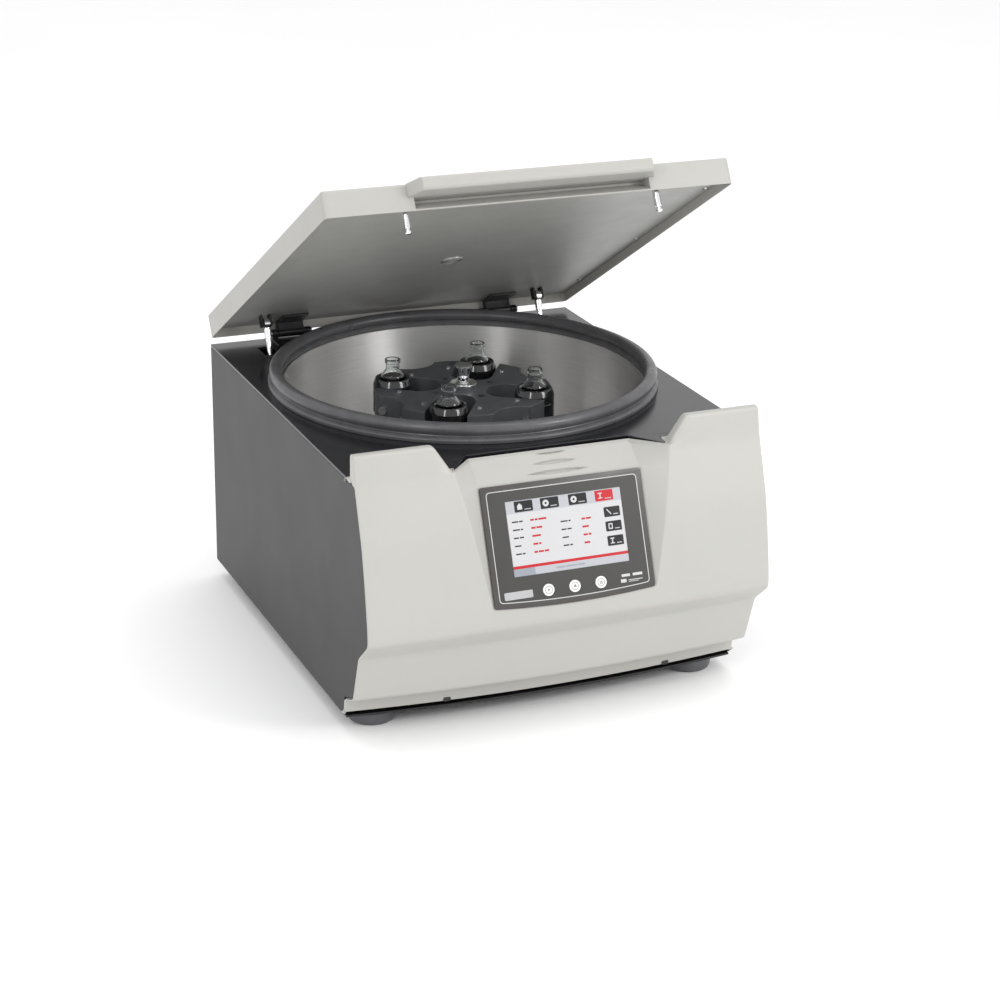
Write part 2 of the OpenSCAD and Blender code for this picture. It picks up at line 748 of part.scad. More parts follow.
module hinge_pins() {
    color(steel) for (s = [-1, 1]) translate([s * leaf_x, hinge_y, hinge_z]) rotate([0, 90, 0]) {
        translate([0, 0, -hinge_w / 2]) cylinder(h = hinge_w, r = hinge_pin_r);
        for (z = [-hinge_w / 2 - 2, hinge_w / 2]) translate([0, 0, z]) cylinder(h = 2, r = 4.5);
    }
}

module hinge_leaves() {
    leaf_w = 40;
    color(black) at_lid() for (s = [-1, 1]) translate([s * leaf_x, 0, 0]) difference() {
        union() {
            translate([-leaf_w / 2, 287, plate_z - 4]) cube([leaf_w, 44, 4]);
            translate([-leaf_w / 2, hinge_y - 5, hinge_z]) cube([leaf_w, 10, plate_z - 4 - hinge_z]);
            translate([-leaf_w / 2, hinge_y, hinge_z]) rotate([0, 90, 0])
                cylinder(h = leaf_w, r = knuckle_r);
        }
        translate([-50, hinge_y, hinge_z]) rotate([0, 90, 0])
            cylinder(h = 100, r = hinge_pin_r + run_fit);
    }
}

// Angle of the open strut from vertical, leaning back
strut_end = opened(strut_top);
strut_lean = atan2(strut_end[0] - strut_low[0], strut_end[1] - strut_low[1]);
strut_l = norm(strut_end - strut_low);

// Place children on a strut: origin at the lower pivot, Z along the rod
module on_strut(s) {
    translate([s * strut_x, strut_low[0], strut_low[1]]) rotate([-strut_lean, 0, 0]) children();
}

module strut_brackets() {
    plate_x = 9.6;       // gap between the bracket plate and the strut's centre
    reach = hw - bezel_t - strut_x;
    color(steel) for (s = [-1, 1]) translate([s * strut_x, strut_low[0], strut_low[1]]) {
        mirror([s < 0 ? 1 : 0, 0, 0]) {
            translate([plate_x, -12, -12]) cube([4, 24, 24]);
            translate([plate_x, -12, -16]) cube([reach - plate_x, 24, 4]);
            translate([reach - 4, -12, -40]) cube([4, 24, 24]);
            translate([-5, 0, 0]) rotate([0, 90, 0]) cylinder(h = plate_x + 5, r = strut_pin_r);
        }
    }
}

module strut_cylinder(s) {
    color(black) on_strut(s) difference() {
        union() {
            translate([-4, 0, 0]) rotate([0, 90, 0]) cylinder(h = 8, r = 7);
            translate([-4, -4, 4]) cube([8, 8, 12]);
            translate([0, 0, 14]) cylinder(h = cylinder_l - 14, r = cylinder_r);
        }
        rotate([0, 90, 0]) cylinder(h = 30, r = strut_pin_r + run_fit, center = true);
        translate([0, 0, 30]) cylinder(h = 200, r = rod_r + run_fit);
    }
}
module strut_cylinder_left() { strut_cylinder(-1); }
module strut_cylinder_right() { strut_cylinder(1); }

module strut_rod(s) {
    foot = 62;           // height of the rod's inner end
    color([0.85, 0.86, 0.87]) on_strut(s) difference() {
        union() {
            translate([0, 0, foot]) cylinder(h = strut_l - foot - 8, r = rod_r);
            translate([0, 0, strut_l - 22]) cylinder(h = 15, r = 5.5);
            translate([-4, 0, strut_l]) rotate([0, 90, 0]) cylinder(h = 8, r = 8);
        }
        translate([0, 0, strut_l]) rotate([0, 90, 0])
            cylinder(h = 30, r = strut_eye_r, center = true);
    }
}
module strut_rod_left() { strut_rod(-1); }
module strut_rod_right() { strut_rod(1); }

module strut_clevises() {
    gap = 5;             // half of the space between a clevis's two ears
    color(black) at_lid() for (s = [-1, 1]) translate([s * strut_x, strut_top[0], 0]) {
        for (x = [-gap - 3, gap]) translate([x, -6, strut_top[1] - 5])
            cube([3, 12, plate_z - strut_top[1] + 5]);
        translate([-gap - 4, 0, strut_top[1]]) rotate([0, 90, 0])
            cylinder(h = 2 * gap + 8, r = strut_pin_r);
    }
}

// ---- back and inside ----

module power_supply() {
    color(steel) translate([-222, 215, base_top]) cube([140, 95, 60]);
}

module power_inlet() {
    color(black) translate([inlet_x, 0, service_z]) difference() {
        union() {
            along_y(rear_y, rear_y + 2.5) rounded(48, 27, 4);
            translate([-13.5, rear_y - 22, -9.5]) cube([27, 22.5, 19]);
        }
        translate([-11.5, rear_y - 16, -7.5]) cube([23, 30, 15]);
        for (x = [-20, 20]) translate([x, rear_y + 5, 0]) rotate([90, 0, 0]) cylinder(h = 6, r = 1.6);
    }
    color(steel) for (x = [-6, 0, 6]) translate([inlet_x + x - 0.8, rear_y - 16, service_z - 2])
        cube([1.6, 14, 4]);
}

module switch_frame() {
    color(black) difference() {
        translate([switch_x, 0, service_z]) along_y(rear_y, rear_y + 2.5) rounded(19, 27, 2);
        translate([switch_x - 6.5, rear_y - 10, service_z - 10.5]) cube([13, 30, 21]);
    }
}

module power_rocker() {
    color([0.75, 0.10, 0.10]) translate([switch_x - 6, rear_y - 4, service_z])
        rotate([rocker_tilt, 0, 0]) {
            along_x(0, 12) polygon([
                [-6, -5], [0, -9.4], [5.6, -9.2], [4.4, 0], [5.6, 9.2], [0, 9.4], [-6, 5]]);
            translate([-0.5, 0, 0]) rotate([0, 90, 0]) cylinder(h = 13, r = 1.8);
        }
}

module fan_housing() {
    color(black) difference() {
        translate([fan_x - 46, rear_y - sheet - 25, fan_z - 46]) cube([92, 25, 92]);
        translate([fan_x, rear_y, fan_z]) rotate([90, 0, 0]) cylinder(h = 60, r = 43);
    }
    color(black) translate([fan_x, rear_y - sheet - 20, fan_z]) rotate([90, 0, 0])
        cylinder(h = 5, r = 17);
    color(black) for (a = [45 : 90 : 315]) translate([fan_x, rear_y - sheet - 25, fan_z])
        rotate([0, a, 0]) translate([15, 0, -2]) cube([29, 4, 4]);
}

module fan_impeller() {
    color([0.15, 0.15, 0.16]) translate([fan_x, rear_y - sheet - 19, fan_z]) rotate([-90, 0, 0]) {
        cylinder(h = 16, r = 17);
        for (a = [0 : 51.43 : 350]) rotate([0, 0, a]) translate([14, -1, 8]) rotate([35, 0, 0])
            translate([0, -1, -9]) cube([26, 2, 18]);
    }
}

module fan_guard() {
    wire = 1.2;
    color(steel) translate([fan_x, rear_y, fan_z]) rotate([-90, 0, 0]) {
        for (r = [12 : 9 : 39]) rotate_extrude() translate([r, wire]) circle(wire, $fn = 16);
        for (a = [45 : 90 : 315]) rotate([0, 0, a]) {
            translate([10, -1.2, 0.2]) cube([44, 2.4, 2]);
            translate([55, 0, 0]) cylinder(h = 2.4, r = 4.5);
        }
    }
}

module panel_screws() {
    y0 = rear_y;
    color(steel) for (x = [-270, 270], z = [60, 200, 340])
        translate([x, y0, z]) rotate([-90, 0, 0]) cylinder(h = 2, r1 = 4.5, r2 = 3);
}

base_plate();
side_panel_left();
side_panel_right();
rear_panel();
top_deck();
front_bezel();
feet();
foot_screws();
bowl();
bowl_gasket();
spindle_boot();
motor_mounts();
motor_plate();
motor_housing();
spindle();
rotor_cross();
rotor_screws();
trunnion_pins();
rotor_hub();
rotor_knob();
bucket_1();
bucket_2();
bucket_3();
bucket_4();
tube_1();
tube_2();
tube_3();
tube_4();
display_panel();
display_screen();
display_board();
button_start();
button_stop();
button_open();
lid_shell();
lid_inner_plate();
lid_handle();
lid_port();
lid_screws();
latch_pins();
lock_housings();
lock_hook_left();
lock_hook_right();
hinge_bases();
hinge_pins();
hinge_leaves();
strut_brackets();
strut_cylinder_left();
strut_cylinder_right();
strut_rod_left();
strut_rod_right();
strut_clevises();
power_supply();
power_inlet();
switch_frame();
power_rocker();
fan_housing();
fan_impeller();
fan_guard();
panel_screws();
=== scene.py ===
"""Looks of a bench-top laboratory centrifuge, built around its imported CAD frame.

Lengths in the helpers are millimetres unless a name ends in _m; mm() turns them into metres.
"""

import math

import bmesh
import bpy
from mathutils import Matrix, Vector


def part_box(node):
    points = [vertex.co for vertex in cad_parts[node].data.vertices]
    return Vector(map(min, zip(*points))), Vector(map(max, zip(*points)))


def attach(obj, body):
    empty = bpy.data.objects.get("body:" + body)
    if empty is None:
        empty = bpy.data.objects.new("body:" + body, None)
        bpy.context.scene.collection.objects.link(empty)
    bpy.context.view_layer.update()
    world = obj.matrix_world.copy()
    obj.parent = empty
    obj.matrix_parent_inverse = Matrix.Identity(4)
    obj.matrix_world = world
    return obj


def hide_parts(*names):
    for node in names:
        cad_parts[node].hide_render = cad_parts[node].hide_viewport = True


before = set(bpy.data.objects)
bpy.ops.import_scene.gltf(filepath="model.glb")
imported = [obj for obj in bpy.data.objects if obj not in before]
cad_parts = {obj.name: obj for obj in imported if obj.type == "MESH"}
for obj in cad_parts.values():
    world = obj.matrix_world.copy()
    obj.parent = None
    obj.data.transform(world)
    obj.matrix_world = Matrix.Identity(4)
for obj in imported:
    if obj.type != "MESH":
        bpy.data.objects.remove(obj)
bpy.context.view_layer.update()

MM = 0.001


def mm(*values):
    return Vector(values) * MM


def box_mm(node):
    """Lowest and highest corner of a CAD node, in millimetres."""
    low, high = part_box(node)
    return low / MM, high / MM


def mix(a, b, t):
    return a + (b - a) * t


def clamp(value, low=0.0, high=1.0):
    return max(low, min(high, value))


def ease(t):
    t = clamp(t)
    return t * t * (3 - 2 * t)


# ---- places taken from the frame ----

deck_high = box_mm("top_deck")[1]
bowl_low, bowl_high = box_mm("bowl")
panel_low, panel_high = box_mm("display_panel")
HALF_W = deck_high.x
DECK_Z = deck_high.z
DECK_Y = -247            # front edge of the deck behind the control panel
AXIS = Vector(((bowl_low.x + bowl_high.x) / 2, (bowl_low.y + bowl_high.y) / 2))
latch_low, latch_high = box_mm("latch_pins")
LATCH_FLANGE_R = 8.5     # the widest part of a latch pin
LATCHES = (latch_low.x + LATCH_FLANGE_R, latch_high.x - LATCH_FLANGE_R)
LATCH_Y = -269
LATCH_R = 8              # hole in the bezel that the pin drops through
LATCH_SIDES = 16         # straight sides that make up the hole
ROTOR_TURN = -33         # degrees the rotor stands turned at rest

# the control panel's own plane: U across, V up the panel, N out of its face
PANEL_T = 3
PANEL_LEAN = math.atan2(60, 147.5)
PANEL_HALF = panel_high.x
PANEL_H = (panel_high.z - panel_low.z - PANEL_T * math.sin(PANEL_LEAN)) / math.cos(PANEL_LEAN)
PANEL_BOW = 5
PANEL_FOOT = Vector((0, panel_low.y, panel_low.z + PANEL_T * math.sin(PANEL_LEAN)))
PANEL_TOP = PANEL_FOOT + Vector((0, math.sin(PANEL_LEAN), math.cos(PANEL_LEAN))) * PANEL_H
ON_PANEL = Matrix.Translation(PANEL_FOOT * MM) @ Matrix(
    ((1, 0, 0), (0, math.sin(PANEL_LEAN), -math.cos(PANEL_LEAN)),
     (0, math.cos(PANEL_LEAN), math.sin(PANEL_LEAN)))).to_4x4() @ Matrix.Scale(MM, 4)


# ---- mesh helpers ----

def rounded(corners, steps=5, closed=True):
    """Outline through (x, y, radius) corners, each turned into an arc of that radius."""
    out = []
    for i, (x, y, radius) in enumerate(corners):
        here = Vector((x, y))
        end = not closed and i in (0, len(corners) - 1)
        if radius == 0 or end:
            out.append(here)
            continue
        back = Vector(corners[i - 1][:2]) - here
        on = Vector(corners[(i + 1) % len(corners)][:2]) - here
        room = 0.49 * min(back.length, on.length)
        back.normalize()
        on.normalize()
        half = back.angle(on) / 2
        if half > math.radians(89):
            out.append(here)
            continue
        run = min(radius / math.tan(half), room)
        turn = run * math.tan(half)
        centre = here + (back + on).normalized() * (turn / math.sin(half))
        first, last = here + back * run - centre, here + on * run - centre
        sweep = first.angle(last)
        for k in range(steps + 1):
            t = k / steps
            out.append(centre + (first * math.sin((1 - t) * sweep) + last * math.sin(t * sweep))
                       / math.sin(sweep))
    return out


def lathe(bm, profile, centre, steps=96, closed=True):
    """Turns a (radius, z) profile round a vertical axis through centre, all in millimetres."""
    rings = []
    for radius, z in profile:
        if radius < 1e-6:
            rings.append([bm.verts.new(mm(centre[0], centre[1], z))])
            continue
        angles = [2 * math.pi * i / steps for i in range(steps)]
        rings.append([bm.verts.new(mm(centre[0] + radius * math.cos(a),
                                      centre[1] + radius * math.sin(a), z)) for a in angles])
    pairs = list(zip(rings, rings[1:]))
    if closed:
        pairs.append((rings[-1], rings[0]))
    for one, two in pairs:
        if len(one) == len(two) == 1:
            continue
        for i in range(steps):
            j = (i + 1) % steps
            ring = [one[i % len(one)], one[j % len(one)], two[j % len(two)], two[i % len(two)]]
            bm.faces.new(list(dict.fromkeys(ring)))


def prism(bm, outline, low, high, place, part=0):
    """Closed plate between two heights over an outline that runs anticlockwise."""
    under, over = ([bm.verts.new(place @ Vector((p[0], p[1], h))) for p in outline]
                   for h in (low, high))
    count = len(outline)
    faces = [bm.faces.new(over), bm.faces.new(under[::-1])]
    for i in range(count):
        j = (i + 1) % count
        faces.append(bm.faces.new((under[i], under[j], over[j], over[i])))
    for face in faces:
        face.material_index = part


def band(bm, outer, inner, low, high, place, part=0):
    """Closed ring between two outlines with as many points each."""
    loops = [[bm.verts.new(place @ Vector((p[0], p[1], h))) for p in outline]
             for outline, h in ((outer, low), (outer, high), (inner, high), (inner, low))]
    count = len(outer)
    for one, two in zip(loops, loops[1:] + loops[:1]):
        for i in range(count):
            j = (i + 1) % count
            bm.faces.new((one[i], one[j], two[j], two[i])).material_index = part


def circle(centre, radius, steps=48):
    return [Vector((centre[0] + radius * math.cos(2 * math.pi * i / steps),
                    centre[1] + radius * math.sin(2 * math.pi * i / steps))) for i in range(steps)]


def rectangle(left, low, right, high, radius=0.0):
    corners = ((left, low), (right, low), (right, high), (left, high))
    return rounded([(x, y, radius) for x, y in corners], 4)


def smooth(mesh, sharp):
    mesh.shade_smooth()
    mesh.set_sharp_from_angle(angle=math.radians(sharp))


def add_piece(name, bm, body, materials, replaces=(), sharp=38):
    """Makes an object of a bmesh, shades it, and ties it to its CAD body."""
    bmesh.ops.recalc_face_normals(bm, faces=bm.faces)
    mesh = bpy.data.meshes.new(name)
    bm.to_mesh(mesh)
    bm.free()
    for material in materials:
        mesh.materials.append(material)
    piece = bpy.data.objects.new(name, mesh)
    bpy.context.scene.collection.objects.link(piece)
    smooth(mesh, sharp)
    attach(piece, body)
    if replaces:
        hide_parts(*replaces)
    return piece


def settle(piece, sharp=38):
    """Applies the modifiers of a piece."""
    graph = bpy.context.evaluated_depsgraph_get()
    graph.update()
    mesh = bpy.data.meshes.new_from_object(piece.evaluated_get(graph))
    piece.modifiers.clear()
    piece.data = mesh
    smooth(mesh, sharp)


def bevel(piece, width, segments=2, angle=32):
    """Rounds the edges of a CAD node without touching its mesh."""
    weld = piece.modifiers.new("weld", "WELD")
    weld.merge_threshold = 2e-6
    round_off = piece.modifiers.new("bevel", "BEVEL")
    round_off.width = width * MM
    round_off.segments = segments
    round_off.limit_method = "ANGLE"
    round_off.angle_limit = math.radians(angle)
    round_off.use_clamp_overlap = True
    normals = piece.modifiers.new("normals", "WEIGHTED_NORMAL")
    normals.keep_sharp = False


# ---- materials ----

class Shader:
    """A Principled material with a few procedural layers, in the piece's own coordinates."""

    def __init__(self, name, colour, roughness, metallic=0.0, **sockets):
        self.material = bpy.data.materials.new(name)
        self.material.use_nodes = True
        self.tree = self.material.node_tree
        self.shader = self.tree.nodes["Principled BSDF"]
        self.colour = (*colour, 1.0)
        self.roughness = roughness
        self.set("Base Color", self.colour)
        self.set("Roughness", roughness)
        self.set("Metallic", metallic)
        for socket, value in sockets.items():
            self.set(socket.replace("_", " "), value)
        self.place = self.node("ShaderNodeTexCoord").outputs["Object"]

    def set(self, socket, value):
        self.shader.inputs[socket].default_value = value

    def node(self, kind, **inputs):
        made = self.tree.nodes.new(kind)
        for socket, value in inputs.items():
            name = socket.replace("_", " ")
            if isinstance(value, bpy.types.NodeSocket):
                self.tree.links.new(value, made.inputs[name])
            else:
                made.inputs[name].default_value = value
        return made

    def link(self, source, socket):
        self.tree.links.new(source, self.shader.inputs[socket])

    def noise(self, size, detail=3.0, stretch=(1, 1, 1)):
        """Noise whose features are about size millimetres across."""
        scaled = self.node("ShaderNodeMapping", Vector=self.place, Scale=stretch)
        made = self.node("ShaderNodeTexNoise", Vector=scaled.outputs["Vector"],
                         Scale=1 / (size * MM), Detail=detail)
        return made.outputs["Fac"]

    def spread(self, source, low, high, start=0.3, end=0.7):
        made = self.node("ShaderNodeMapRange")
        self.tree.links.new(source, made.inputs["Value"])
        for socket, value in (("From Min", start), ("From Max", end), ("To Min", low), ("To Max", high)):
            made.inputs[socket].default_value = value
        return made.outputs["Result"]

    def mottle(self, size, amount, stretch=(1, 1, 1)):
        """Varies the colour by amount about its own value."""
        shade = self.node("ShaderNodeMix")
        shade.data_type = "RGBA"
        dark, light = (tuple(clamp(c * k, 0, 1) for c in self.colour[:3]) + (1,)
                       for k in (1 - amount, 1 + amount))
        shade.inputs[6].default_value = dark
        shade.inputs[7].default_value = light
        self.tree.links.new(self.spread(self.noise(size, 4, stretch), 0, 1), shade.inputs[0])
        self.link(shade.outputs[2], "Base Color")
        return self

    def haze(self, size, amount, stretch=(1, 1, 1)):
        """Varies the roughness, as handling and wiping leave it."""
        low, high = clamp(self.roughness - amount), clamp(self.roughness + amount)
        self.link(self.spread(self.noise(size, 5, stretch), low, high), "Roughness")
        return self

    def relief(self, size, height, stretch=(1, 1, 1), detail=2.0):
        """Raises the surface by about height millimetres."""
        made = self.node("ShaderNodeBump", Height=self.noise(size, detail, stretch),
                         Strength=1.0, Distance=height * MM)
        self.link(made.outputs["Normal"], "Normal")
        return self


def powder_coat(name, colour, roughness):
    return Shader(name, colour, roughness).mottle(140, 0.012).haze(90, 0.02).relief(1.3, 0.012).material


def moulded_cream(name, colour, roughness):
    made = Shader(name, colour, roughness, Subsurface_Weight=0.04, Subsurface_Scale=0.004)
    made.set("Specular IOR Level", 0.42)
    return made.mottle(160, 0.012).haze(80, 0.05).relief(0.7, 0.006, detail=3).material


def brushed(name, colour, roughness, stretch, anisotropic=0.0):
    made = Shader(name, colour, roughness, metallic=1.0, Anisotropic=anisotropic,
                  Anisotropic_Rotation=0.25)
    if anisotropic:
        tangent = made.node("ShaderNodeTangent")
        tangent.direction_type = "RADIAL"
        tangent.axis = "Z"
        made.link(tangent.outputs["Tangent"], "Tangent")
    return made.mottle(1.0, 0.05, stretch).haze(1.4, 0.04, stretch).relief(0.6, 0.0006, stretch).material


def rubber(name, colour, roughness):
    return Shader(name, colour, roughness).mottle(25, 0.14).haze(30, 0.08).relief(1.1, 0.02).material


def plain(name, colour, roughness, metallic=0.0, grain=1.0, **sockets):
    made = Shader(name, colour, roughness, metallic, **sockets)
    return made.mottle(40, 0.04).haze(30, 0.04).relief(grain, 0.006).material


def glass():
    made = Shader("tube_glass", (0.96, 0.985, 0.98), 0.02, Transmission_Weight=1.0, IOR=1.47)
    return made.mottle(60, 0.01).haze(20, 0.015).relief(18, 0.05).material


def lit(name, colour, strength):
    """A colour of the screen, which glows a little."""
    made = Shader(name, colour, 0.22)
    made.set("Emission Color", (*colour, 1.0))
    made.set("Emission Strength", strength)
    return made.mottle(0.5, 0.02).haze(40, 0.04).material


MATERIALS = {
    "cabinet_paint": powder_coat("cabinet_paint", (0.028, 0.028, 0.030), 0.5),
    "deck_paint": powder_coat("deck_paint", (0.014, 0.014, 0.017), 0.19),
    "bezel_cream": moulded_cream("bezel_cream", (0.440, 0.436, 0.410), 0.42),
    "lid_cream": moulded_cream("lid_cream", (0.405, 0.401, 0.376), 0.42),
    "lid_plate": plain("lid_plate", (0.33, 0.33, 0.315), 0.42, 0.1, 0.8),
    "stainless": brushed("stainless", (0.78, 0.775, 0.765), 0.42, (0.02, 0.02, 1), 0.9),
    "gasket_rubber": rubber("gasket_rubber", (0.084, 0.084, 0.089), 0.34),
    "rotor_coat": plain("rotor_coat", (0.090, 0.095, 0.101), 0.40, 0.25, 0.6),
    "bucket_black": plain("bucket_black", (0.010, 0.010, 0.011), 0.16, 0.0, 3.0, Coat_Weight=0.4),
    "chrome": plain("chrome", (0.80, 0.80, 0.81), 0.09, 1.0, 4.0),
    "tube_glass": glass(),
    "panel_grey": plain("panel_grey", (0.035, 0.034, 0.032), 0.36, 0.0, 0.5),
    "screen": lit("screen", (0.50, 0.50, 0.51), 0.09),
    "button_white": plain("button_white", (0.84, 0.84, 0.83), 0.35, 0.0, 1.5),
    "board_green": plain("board_green", (0.02, 0.10, 0.05), 0.5),
    "black_plastic": plain("black_plastic", (0.022, 0.022, 0.024), 0.38, 0.0, 0.5),
    "black_steel": plain("black_steel", (0.018, 0.018, 0.019), 0.34, 0.3, 1.0),
    "zinc_steel": plain("zinc_steel", (0.58, 0.58, 0.57), 0.30, 1.0, 1.2),
    "motor_grey": plain("motor_grey", (0.075, 0.079, 0.085), 0.50, 0.4, 1.0),
    "rocker_red": plain("rocker_red", (0.45, 0.02, 0.02), 0.30, 0.0, 1.0),
    "panel_edge": plain("panel_edge", (0.060, 0.055, 0.052), 0.32, 0.0, 0.5),
    "panel_line": plain("panel_line", (0.52, 0.52, 0.51), 0.35, 0.0, 0.5),
    "panel_label": plain("panel_label", (0.40, 0.40, 0.41), 0.30, 0.0, 0.5),
    "bright_steel": plain("bright_steel", (0.86, 0.86, 0.86), 0.24, 1.0, 3.0),
    "print_grey": plain("print_grey", (0.22, 0.22, 0.23), 0.4, 0.0, 0.5),
    "screen_grey": lit("screen_grey", (0.40, 0.41, 0.44), 0.06),
    "screen_black": lit("screen_black", (0.006, 0.006, 0.007), 0.02),
    "screen_red": lit("screen_red", (0.45, 0.008, 0.014), 0.05),
    "screen_dark": lit("screen_dark", (0.26, 0.28, 0.32), 0.08),
}


# ---- CAD nodes that are shown as they are ----

BEVELS = {
    "side_panel_left": 1.0, "side_panel_right": 1.0, "top_deck": 0.8, "rear_panel": 0.6,
    "base_plate": 0.5, "lid_shell": 1.1, "lid_handle": 1.2, "lid_inner_plate": 0.5,
    "lid_port": 0.4, "rotor_cross": 0.9, "rotor_hub": 0.3, "rotor_screws": 0.2,
    "trunnion_pins": 0.5, "latch_pins": 0.3, "hinge_bases": 0.6, "hinge_leaves": 0.6,
    "strut_brackets": 0.4, "strut_clevises": 0.4, "strut_cylinder_left": 0.8,
    "strut_cylinder_right": 0.8, "strut_rod_left": 0.4, "strut_rod_right": 0.4,
    "lock_housings": 0.5, "feet": 0.8, "foot_screws": 0.3, "power_inlet": 0.6,
    "switch_frame": 0.5, "power_rocker": 0.6, "fan_housing": 0.5,
}


def dress_cad_nodes():
    for name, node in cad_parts.items():
        for place in node.material_slots:
            place.material = MATERIALS[place.material.name]
        if name in BEVELS:
            bevel(node, BEVELS[name])


# ---- front bezel ----

# face of the bezel at its two ends, (y, z) from the top down, and how far its middle bows out
FACE = ((-303, 368), (-304.6, 362), (-317, 326), (-330, 288), (-341, 234), (-348, 190), (-350, 167),
        (-347, 160), (-314, 132), (-290, 62), (-257, 50), (-254, 31))
FACE_BOW = ((0, 368), (2, 326), (4, 234), (5, 160), (12, 120), (18, 62), (20, 31))
SKIN = 3.5               # wall of the moulding
KEEP = 0.82              # share of its triangles that stay
EDGE = 4                 # how far its edges turn back
POCKET_HALF = PANEL_HALF + 0.3
FLARE_TOP, FLARE_LOW = 38, 3
PANEL_GAP = 3.6          # floor of the hollow behind the panel's face

# the shoulder's section, (y, z above the deck, y on the lip where the shoulder has run out)
SHOULDER = ((-268.3, 0, -297), (-272, 0.2, -297.3), (-279.6, 0.9, -297.7), (-282.3, 3.6, -298.1),
            (-282.9, 11, -298.5), (-283, 25, -298.9), (-283, 34.2, -299.3), (-284.3, 36, -299.7),
            (-294, 36, -300.1), (-296.4, 34.4, -300.6), (-297.6, 29, -301.1),
            (-299.5, 19, -301.6), (-301.3, 9, -302.1), (-302.4, 3.5, -302.6), (-303, 0, -303))
CAP_Y = -287             # middle of the shoulder's outer end
LIP = 5                  # lip between the hollow and the deck
SLOPE_FOOT, SLOPE_TOP = 155, 179

GROOVES = ((9, 46, 2.6), (24, 66, 3.2), (39, 92, 3.8))  # (down the slope, length, depth)


def read(table, z):
    """Value at height z in (value, z) rows that run from the top down."""
    for (a, high), (b, low) in zip(table, table[1:]):
        if z >= low:
            break
    return mix(a, b, (high - z) / (high - low))


def face_y(x, z):
    return read(FACE, z) - read(FACE_BOW, z) * (1 - (x / HALF_W) ** 2)


def flare(z):
    return mix(FLARE_LOW, FLARE_TOP, clamp((z - PANEL_FOOT.z) / (DECK_Z - PANEL_FOOT.z)))


def pocket_y(z):
    """Back of the hollow: the slope above the panel, and the floor behind the panel."""
    if z > PANEL_TOP.z:
        t = (z - PANEL_TOP.z) / (DECK_Z - PANEL_TOP.z)
        return mix(PANEL_TOP.y + PANEL_T, DECK_Y - LIP, t)
    t = (z - PANEL_FOOT.z) / (PANEL_TOP.z - PANEL_FOOT.z)
    return mix(PANEL_FOOT.y, PANEL_TOP.y, t) + PANEL_GAP


def slope_edge(s):
    """Rounded edge between the deck and the slope over the panel, s from 0 to 1."""
    points = ((DECK_Y, DECK_Z), (DECK_Y - LIP, DECK_Z), (DECK_Y - LIP - 4, DECK_Z - 3.1))
    (ay, az), (by, bz), (cy, cz) = points
    return (mix(mix(ay, by, s), mix(by, cy, s), s), mix(mix(az, bz, s), mix(bz, cz, s), s))


# columns of the bezel's grid on the right half: its middle, the hollow's side wall, the wing
MIDDLE = (0, 11, 22, 33, 44, 56, 76, 103, 112.5, POCKET_HALF)
WALL = (0.05, 0.35, 0.65, 0.9)
WING = (153, 154.9, 158, 165, 173, 178, 182, 190, 222, 256, 276, 284.5, 287.5)
COLUMNS = ([("middle", x) for x in MIDDLE] + [("wall", t) for t in WALL]
           + [("wing", x) for x in WING] + [("turn", 0.3), ("turn", 1.0)])
WINDOW_HALF, WINDOW_LOW, WINDOW_TOP = 103, 197, 327
FACE_ROWS = ([362.5 - 2 * i for i in range(11)]
             + [340.4, 338.9, 337.6, WINDOW_TOP, 307, 288, 258, 234, 212, WINDOW_LOW, 193,
                191.6, 190.2, 188.6, 184, 176, 169, 165.5, 162.5, 158.5, 150, 139, 132, 125, 105,
                80, 70, 65, 61, 55, 50, 46, 38, 33.5, 31])


def wing_x(x, z):
    """Wing columns spread from the hollow's edge to the bezel's end."""
    return mix(POCKET_HALF + flare(z), HALF_W, (x - WING[0]) / (WING[-1] - WING[0]))


def shoulder_point(row, kind, place):
    y, up, flat = SHOULDER[row]
    s = (flat - SHOULDER[0][0]) / (SHOULDER[-1][0] - SHOULDER[0][0])
    edge = slope_edge(s)
    if kind == "middle":
        return Vector((place, edge[0], edge[1]))
    if kind == "wall":
        x = mix(POCKET_HALF, POCKET_HALF + flare(DECK_Z), place)
        return Vector((x, mix(edge[0], flat, place), mix(edge[1], DECK_Z, place)))
    if kind == "wing":
        rise = clamp((place - SLOPE_FOOT) / (SLOPE_TOP - SLOPE_FOOT))
        spread = clamp((place - WING[0]) / (WING[1] - WING[0]))
        return Vector((place, mix(flat, y, spread), DECK_Z + up * rise))
    full = Vector((HALF_W, y, DECK_Z + up))
    if row == len(SHOULDER) - 1:
        back = Vector((HALF_W, y + EDGE, DECK_Z - EDGE))
    else:
        back = Vector((HALF_W, mix(y, CAP_Y, clamp(up / 6)), DECK_Z - EDGE + max(0, up - 6)))
    return full.lerp(back, place)


def face_point(z, kind, place):
    if kind == "middle":
        near = ease(1 - abs(z - PANEL_FOOT.z) / 24)
        z_here = z - PANEL_BOW * (1 - (place / PANEL_HALF) ** 2) * near
        low = PANEL_FOOT.z - PANEL_BOW * (1 - (place / PANEL_HALF) ** 2)
        y = pocket_y(z_here) if z_here > low - 0.2 else face_y(place, z_here)
        return Vector((place, y, z_here))
    if kind == "wall":
        inner = face_point(z, "middle", POCKET_HALF)
        crest = POCKET_HALF + flare(z)
        return inner.lerp(Vector((crest, face_y(crest, z), z)), place)
    if kind == "wing":
        x = wing_x(place, z)
        return Vector((x, face_y(x, z), z))
    return Vector((HALF_W, face_y(HALF_W, z) + EDGE * place, z))


